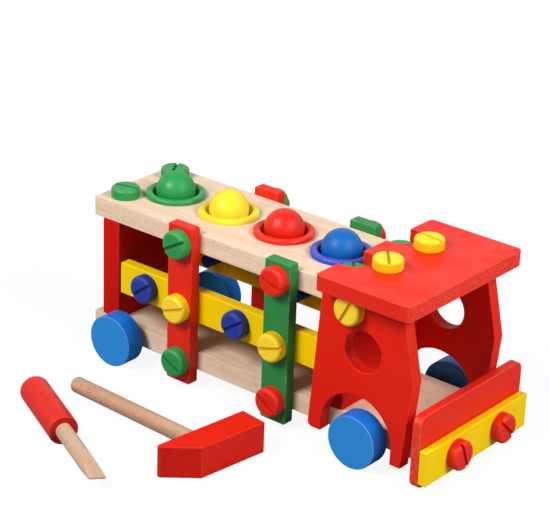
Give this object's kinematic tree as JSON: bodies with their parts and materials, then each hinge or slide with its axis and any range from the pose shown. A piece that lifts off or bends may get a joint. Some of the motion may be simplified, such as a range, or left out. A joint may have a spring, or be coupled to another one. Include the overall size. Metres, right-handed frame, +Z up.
{
  "type": "wooden screw-together toy truck",
  "caption": "Wooden toy truck held together by large slotted wooden screws, with balls to knock through its deck, turning wheels, and a wooden hammer and screwdriver lying beside it.",
  "frame": {"origin": "middle of the footprint of the set (truck with hammer and screwdriver beside it), on the floor", "axes": "+X towards the truck's front, +Y towards the truck's left side, +Z up"},
  "size_m": [0.3362, 0.2808, 0.1459],
  "materials": {
    "red_paint": "satin red lacquer on wood",
    "yellow_paint": "satin yellow lacquer on wood",
    "green_paint": "satin green lacquer on wood",
    "azure_paint": "satin azure lacquer on wood",
    "ultramarine_paint": "satin ultramarine lacquer on wood",
    "violet_blue_paint": "satin violet-blue lacquer on wood",
    "beech": "smooth bare pale wood with fine lengthwise grain",
    "dowel_wood": "bare dowel wood with short dark pores"
  },
  "bodies": {
    "truck": {"chassis": "beech", "deck": "beech", "rear_wall": "red_paint", "cab_bulkhead": "red_paint", "roof": "red_paint", "bumper_board": "red_paint", "bumper_rail": "yellow_paint", "post_front_right": "green_paint", "post_front_left": "green_paint", "post_rear_right": "red_paint", "post_rear_left": "red_paint", "rail_right": "yellow_paint", "rail_left": "yellow_paint", "cab_side_right": "red_paint", "cab_side_left": "red_paint", "ring_1_green": "green_paint", "ring_2_yellow": "yellow_paint", "ring_3_red": "red_paint", "ring_4_blue": "violet_blue_paint"},
    "ball_1": {"ball_1_green": "green_paint"},
    "ball_2": {"ball_2_yellow": "yellow_paint"},
    "ball_3": {"ball_3_red": "red_paint"},
    "ball_4": {"ball_4_blue": "azure_paint"},
    "wheelset_rear": {"axle_rear": "dowel_wood", "wheel_rear_right": "azure_paint", "wheel_rear_left": "azure_paint"},
    "wheelset_front": {"axle_front": "dowel_wood", "wheel_front_right": "azure_paint", "wheel_front_left": "azure_paint"},
    "hammer": {"hammer_head": "red_paint", "hammer_handle": "dowel_wood"},
    "screwdriver": {"driver_handle": "red_paint", "driver_blade": "beech"},
    "screw_post_front_right_top": {"screw_post_front_right_top": "red_paint"},
    "screw_post_front_right_middle": {"screw_post_front_right_middle": "yellow_paint"},
    "screw_post_front_right_bottom": {"screw_post_front_right_bottom": "red_paint"},
    "screw_post_rear_right_top": {"screw_post_rear_right_top": "green_paint"},
    "screw_post_rear_right_middle": {"screw_post_rear_right_middle": "yellow_paint"},
    "screw_post_rear_right_bottom": {"screw_post_rear_right_bottom": "green_paint"},
    "screw_rail_rear_right": {"screw_rail_rear_right": "ultramarine_paint"},
    "screw_rail_front_right": {"screw_rail_front_right": "ultramarine_paint"},
    "screw_cab_right": {"screw_cab_right": "yellow_paint"},
    "screw_roof_right": {"screw_roof_right": "yellow_paint"},
    "screw_deck_front_right": {"screw_deck_front_right": "green_paint"},
    "screw_deck_rear_right": {"screw_deck_rear_right": "green_paint"},
    "screw_bumper_right": {"screw_bumper_right": "red_paint"},
    "screw_post_front_left_top": {"screw_post_front_left_top": "red_paint"},
    "screw_post_front_left_middle": {"screw_post_front_left_middle": "yellow_paint"},
    "screw_post_front_left_bottom": {"screw_post_front_left_bottom": "red_paint"},
    "screw_post_rear_left_top": {"screw_post_rear_left_top": "green_paint"},
    "screw_post_rear_left_middle": {"screw_post_rear_left_middle": "yellow_paint"},
    "screw_post_rear_left_bottom": {"screw_post_rear_left_bottom": "green_paint"},
    "screw_rail_rear_left": {"screw_rail_rear_left": "ultramarine_paint"},
    "screw_rail_front_left": {"screw_rail_front_left": "ultramarine_paint"},
    "screw_cab_left": {"screw_cab_left": "yellow_paint"},
    "screw_roof_left": {"screw_roof_left": "yellow_paint"},
    "screw_deck_front_left": {"screw_deck_front_left": "green_paint"},
    "screw_deck_rear_left": {"screw_deck_rear_left": "green_paint"},
    "screw_bumper_left": {"screw_bumper_left": "red_paint"}
  },
  "joints": [
    {"name": "ball_1_drop", "type": "slide", "parent": "truck", "child": "ball_1", "axis": [0, 0, -1], "range_m": [0, 0.0833]},
    {"name": "ball_2_drop", "type": "slide", "parent": "truck", "child": "ball_2", "axis": [0, 0, -1], "range_m": [0, 0.0833]},
    {"name": "ball_3_drop", "type": "slide", "parent": "truck", "child": "ball_3", "axis": [0, 0, -1], "range_m": [0, 0.0833]},
    {"name": "ball_4_drop", "type": "slide", "parent": "truck", "child": "ball_4", "axis": [0, 0, -1], "range_m": [0, 0.0833]},
    {"name": "wheels_rear_spin", "type": "hinge", "parent": "truck", "child": "wheelset_rear", "pos_m": [-0.13165, 0.07271, 0.02], "axis": [0, 1, 0], "continuous": true},
    {"name": "wheels_front_spin", "type": "hinge", "parent": "truck", "child": "wheelset_front", "pos_m": [0.09835, 0.07271, 0.02], "axis": [0, 1, 0], "continuous": true},
    {"name": "hammer_lift", "type": "slide", "parent": "truck", "child": "hammer", "axis": [0, 0, 1], "range_m": [0, 0.16]},
    {"name": "screwdriver_lift", "type": "slide", "parent": "truck", "child": "screwdriver", "axis": [0, 0, 1], "range_m": [0, 0.16]},
    {"name": "screw_post_front_right_top_turn", "type": "hinge", "parent": "truck", "child": "screw_post_front_right_top", "pos_m": [0.01845, 0.01951, 0.11475], "axis": [0, -1, 0], "range_deg": [0, 1440]},
    {"name": "screw_post_front_right_middle_turn", "type": "hinge", "parent": "truck", "child": "screw_post_front_right_middle", "pos_m": [0.01845, 0.01951, 0.0635], "axis": [0, -1, 0], "range_deg": [0, 1440]},
    {"name": "screw_post_front_right_bottom_turn", "type": "hinge", "parent": "truck", "child": "screw_post_front_right_bottom", "pos_m": [0.01845, 0.01951, 0.0201], "axis": [0, -1, 0], "range_deg": [0, 1440]},
    {"name": "screw_post_rear_right_top_turn", "type": "hinge", "parent": "truck", "child": "screw_post_rear_right_top", "pos_m": [-0.07305, 0.01951, 0.11475], "axis": [0, -1, 0], "range_deg": [0, 1440]},
    {"name": "screw_post_rear_right_middle_turn", "type": "hinge", "parent": "truck", "child": "screw_post_rear_right_middle", "pos_m": [-0.07305, 0.01951, 0.0635], "axis": [0, -1, 0], "range_deg": [0, 1440]},
    {"name": "screw_post_rear_right_bottom_turn", "type": "hinge", "parent": "truck", "child": "screw_post_rear_right_bottom", "pos_m": [-0.07305, 0.01951, 0.0201], "axis": [0, -1, 0], "range_deg": [0, 1440]},
    {"name": "screw_rail_rear_right_turn", "type": "hinge", "parent": "truck", "child": "screw_rail_rear_right", "pos_m": [-0.11335, 0.02881, 0.0635], "axis": [0, -1, 0], "range_deg": [0, 1440]},
    {"name": "screw_rail_front_right_turn", "type": "hinge", "parent": "truck", "child": "screw_rail_front_right", "pos_m": [-0.02365, 0.02881, 0.0635], "axis": [0, -1, 0], "range_deg": [0, 1440]},
    {"name": "screw_cab_right_turn", "type": "hinge", "parent": "truck", "child": "screw_cab_right", "pos_m": [0.08565, 0.01851, 0.11475], "axis": [0, -1, 0], "range_deg": [0, 1440]},
    {"name": "screw_roof_right_turn", "type": "hinge", "parent": "truck", "child": "screw_roof_right", "pos_m": [0.09185, 0.04861, 0.13785], "axis": [0, 0, 1], "range_deg": [0, 1440]},
    {"name": "screw_deck_front_right_turn", "type": "hinge", "parent": "truck", "child": "screw_deck_front_right", "pos_m": [0.06565, 0.04511, 0.12255], "axis": [0, 0, 1], "range_deg": [0, 1440]},
    {"name": "screw_deck_rear_right_turn", "type": "hinge", "parent": "truck", "child": "screw_deck_rear_right", "pos_m": [-0.15095, 0.04511, 0.12255], "axis": [0, 0, 1], "range_deg": [0, 1440]},
    {"name": "screw_bumper_right_turn", "type": "hinge", "parent": "truck", "child": "screw_bumper_right", "pos_m": [0.16015, 0.04611, 0.02], "axis": [1, 0, 0], "range_deg": [0, 1440]},
    {"name": "screw_post_front_left_top_turn", "type": "hinge", "parent": "truck", "child": "screw_post_front_left_top", "pos_m": [0.01845, 0.12591, 0.11475], "axis": [0, 1, 0], "range_deg": [0, 1440]},
    {"name": "screw_post_front_left_middle_turn", "type": "hinge", "parent": "truck", "child": "screw_post_front_left_middle", "pos_m": [0.01845, 0.12591, 0.0635], "axis": [0, 1, 0], "range_deg": [0, 1440]},
    {"name": "screw_post_front_left_bottom_turn", "type": "hinge", "parent": "truck", "child": "screw_post_front_left_bottom", "pos_m": [0.01845, 0.12591, 0.0201], "axis": [0, 1, 0], "range_deg": [0, 1440]},
    {"name": "screw_post_rear_left_top_turn", "type": "hinge", "parent": "truck", "child": "screw_post_rear_left_top", "pos_m": [-0.07305, 0.12591, 0.11475], "axis": [0, 1, 0], "range_deg": [0, 1440]},
    {"name": "screw_post_rear_left_middle_turn", "type": "hinge", "parent": "truck", "child": "screw_post_rear_left_middle", "pos_m": [-0.07305, 0.12591, 0.0635], "axis": [0, 1, 0], "range_deg": [0, 1440]},
    {"name": "screw_post_rear_left_bottom_turn", "type": "hinge", "parent": "truck", "child": "screw_post_rear_left_bottom", "pos_m": [-0.07305, 0.12591, 0.0201], "axis": [0, 1, 0], "range_deg": [0, 1440]},
    {"name": "screw_rail_rear_left_turn", "type": "hinge", "parent": "truck", "child": "screw_rail_rear_left", "pos_m": [-0.11335, 0.11661, 0.0635], "axis": [0, 1, 0], "range_deg": [0, 1440]},
    {"name": "screw_rail_front_left_turn", "type": "hinge", "parent": "truck", "child": "screw_rail_front_left", "pos_m": [-0.02365, 0.11661, 0.0635], "axis": [0, 1, 0], "range_deg": [0, 1440]},
    {"name": "screw_cab_left_turn", "type": "hinge", "parent": "truck", "child": "screw_cab_left", "pos_m": [0.08565, 0.12691, 0.11475], "axis": [0, 1, 0], "range_deg": [0, 1440]},
    {"name": "screw_roof_left_turn", "type": "hinge", "parent": "truck", "child": "screw_roof_left", "pos_m": [0.09185, 0.09681, 0.13785], "axis": [0, 0, 1], "range_deg": [0, 1440]},
    {"name": "screw_deck_front_left_turn", "type": "hinge", "parent": "truck", "child": "screw_deck_front_left", "pos_m": [0.06565, 0.10031, 0.12255], "axis": [0, 0, 1], "range_deg": [0, 1440]},
    {"name": "screw_deck_rear_left_turn", "type": "hinge", "parent": "truck", "child": "screw_deck_rear_left", "pos_m": [-0.15095, 0.10031, 0.12255], "axis": [0, 0, 1], "range_deg": [0, 1440]},
    {"name": "screw_bumper_left_turn", "type": "hinge", "parent": "truck", "child": "screw_bumper_left", "pos_m": [0.16015, 0.09931, 0.02], "axis": [1, 0, 0], "range_deg": [0, 1440]}
  ]
}
